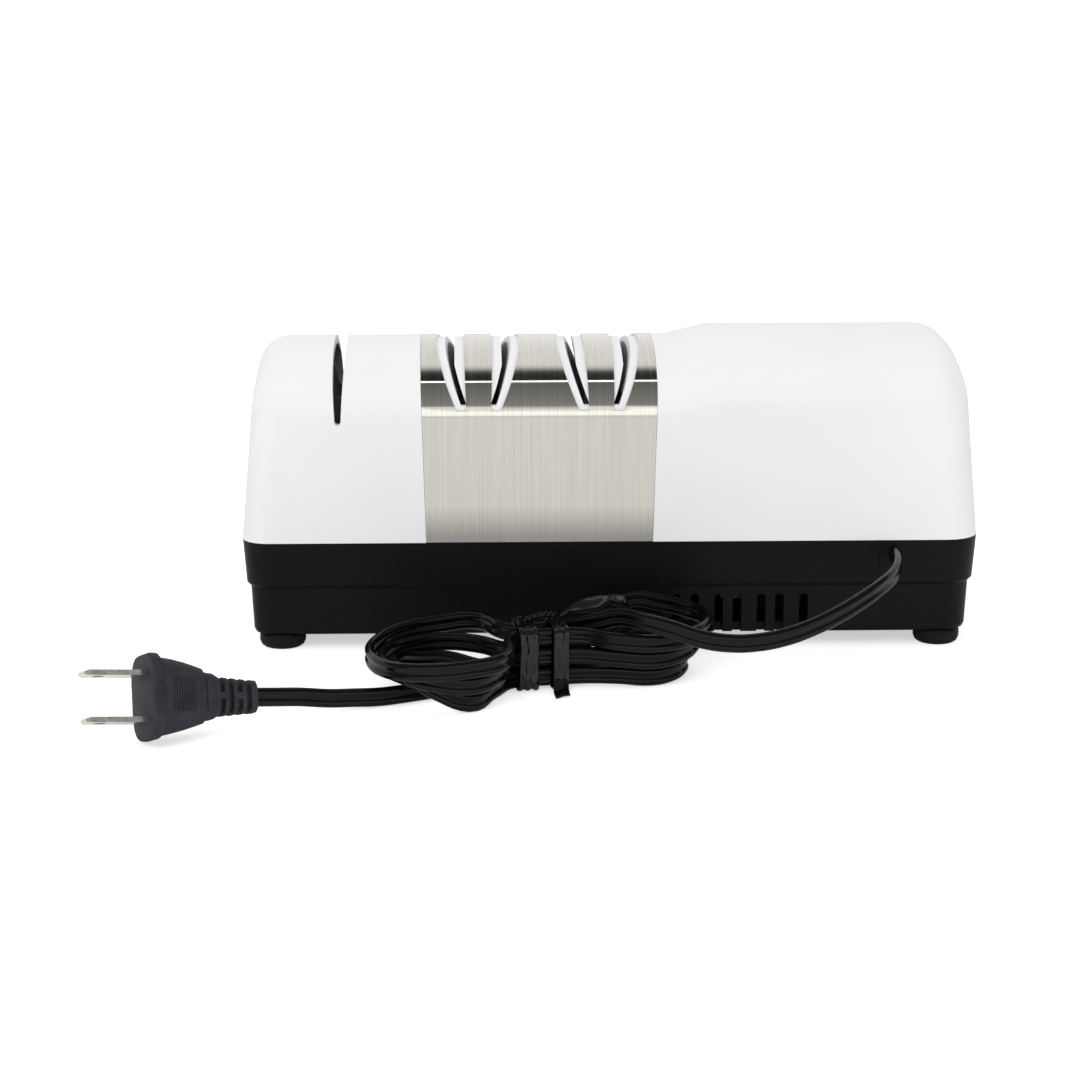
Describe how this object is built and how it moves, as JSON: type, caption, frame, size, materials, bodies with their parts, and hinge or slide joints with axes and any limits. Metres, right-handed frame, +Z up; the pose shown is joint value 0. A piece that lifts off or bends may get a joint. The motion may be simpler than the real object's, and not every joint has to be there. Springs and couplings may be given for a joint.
{
  "type": "electric knife sharpener",
  "caption": "Bench-top electric knife sharpener: long rounded housing with slanted powered slots, an upright hand slot, and a flat cord tied in a hank.",
  "frame": {"origin": "on the table, under the middle of the housing", "axes": "+X along the housing to the motor end, +Y to the user (the switch side), +Z up; the cord leaves the rear at -Y"},
  "size_m": [0.2573, 0.1865, 0.0902],
  "materials": {
    "white_shell": "smooth moulded gloss",
    "brushed_wrap": "vertical brushing",
    "black_base": "fine moulded grain",
    "rubber_feet": "matt",
    "guide_plastic": "satin",
    "magnet": "sintered",
    "screw_steel": "dark zinc",
    "cord_jacket": "satin jacket",
    "tie_film": "thin film over wire",
    "blade_brass": "stamped",
    "lamination": "stacked sheets",
    "bobbin": "nylon",
    "copper_winding": "enamelled copper",
    "zinc_bracket": "stamped zinc-plated",
    "bronze_bush": "sintered bronze",
    "shaft_steel": "ground",
    "rotor_steel": "cast end rings on laminations",
    "fan_plastic": "moulded",
    "coarse_grit": "diamond-coated",
    "fine_grit": "fine diamond-coated",
    "spring_steel": "drawn wire",
    "switch_black": "moulded",
    "rocker_black": "moulded"
  },
  "bodies": {
    "root": {"base_tray": "black_base", "top_cover": "white_shell", "steel_wrap": "brushed_wrap", "blade_guides": "guide_plastic", "guide_magnets": "magnet", "foot_rear_left": "rubber_feet", "foot_rear_right": "rubber_feet", "foot_front_left": "rubber_feet", "foot_front_right": "rubber_feet", "cover_screws": "screw_steel", "swarf_magnet": "magnet", "cord_bushing": "black_base", "cord_lead": "cord_jacket", "cord_hank": "cord_jacket", "cord_tail": "cord_jacket", "cord_tie_left": "tie_film", "cord_tie_right": "tie_film", "plug_body": "cord_jacket", "plug_blades": "blade_brass", "stator_stack": "lamination", "coil_bobbin": "bobbin", "motor_coil": "copper_winding", "front_bracket": "zinc_bracket", "rear_bracket": "zinc_bracket", "motor_bearings": "bronze_bush", "motor_bolts": "screw_steel", "outboard_bracket": "zinc_bracket", "outboard_bearing": "bronze_bush", "switch_body": "switch_black", "rocker_pin": "shaft_steel", "wheel_holder": "guide_plastic", "wheel_axle_left": "shaft_steel", "wheel_axle_right": "shaft_steel"},
    "rotor": {"drive_shaft": "shaft_steel", "rotor_core": "rotor_steel", "cooling_fan": "fan_plastic", "stop_pins": "shaft_steel", "coarse_spring": "spring_steel", "fine_spring": "spring_steel"},
    "coarse_left": {"coarse_disc_left": "coarse_grit"},
    "coarse_right": {"coarse_disc_right": "coarse_grit"},
    "fine_left": {"fine_disc_left": "fine_grit"},
    "fine_right": {"fine_disc_right": "fine_grit"},
    "rocker": {"switch_rocker": "rocker_black"},
    "wheels_left": {"hand_wheels_left": "coarse_grit"},
    "wheels_right": {"hand_wheels_right": "coarse_grit"},
    "door": {"cleanout_door": "black_base"}
  },
  "joints": [
    {"name": "rotor_spin", "type": "hinge", "parent": "root", "child": "rotor", "pos_m": [0, 0, 0.05], "axis": [1, 0, 0], "continuous": true},
    {"name": "coarse_left_press", "type": "slide", "parent": "rotor", "child": "coarse_left", "axis": [1, 0, 0], "range_m": [0, 0.002], "stiffness_N_per_m": 400, "springref_m": -0.002, "deforming": ["coarse_spring"]},
    {"name": "coarse_right_press", "type": "slide", "parent": "rotor", "child": "coarse_right", "axis": [-1, 0, 0], "range_m": [0, 0.002], "stiffness_N_per_m": 400, "springref_m": -0.002},
    {"name": "fine_left_press", "type": "slide", "parent": "rotor", "child": "fine_left", "axis": [1, 0, 0], "range_m": [0, 0.002], "stiffness_N_per_m": 400, "springref_m": -0.002, "deforming": ["fine_spring"]},
    {"name": "fine_right_press", "type": "slide", "parent": "rotor", "child": "fine_right", "axis": [-1, 0, 0], "range_m": [0, 0.002], "stiffness_N_per_m": 400, "springref_m": -0.002},
    {"name": "switch_rock", "type": "hinge", "parent": "root", "child": "rocker", "pos_m": [0.0215, 0.03786, 0.05571], "axis": [1, 0, 0], "range_deg": [-22, 0]},
    {"name": "left_wheels_spin", "type": "hinge", "parent": "root", "child": "wheels_left", "pos_m": [-0.0879, 0, 0.06584], "axis": [0, 1, 0], "continuous": true},
    {"name": "right_wheels_spin", "type": "hinge", "parent": "root", "child": "wheels_right", "pos_m": [-0.0739, 0, 0.06584], "axis": [0, 1, 0], "continuous": true},
    {"name": "door_slide", "type": "slide", "parent": "root", "child": "door", "axis": [1, 0, 0], "range_m": [0, 0.036]}
  ]
}
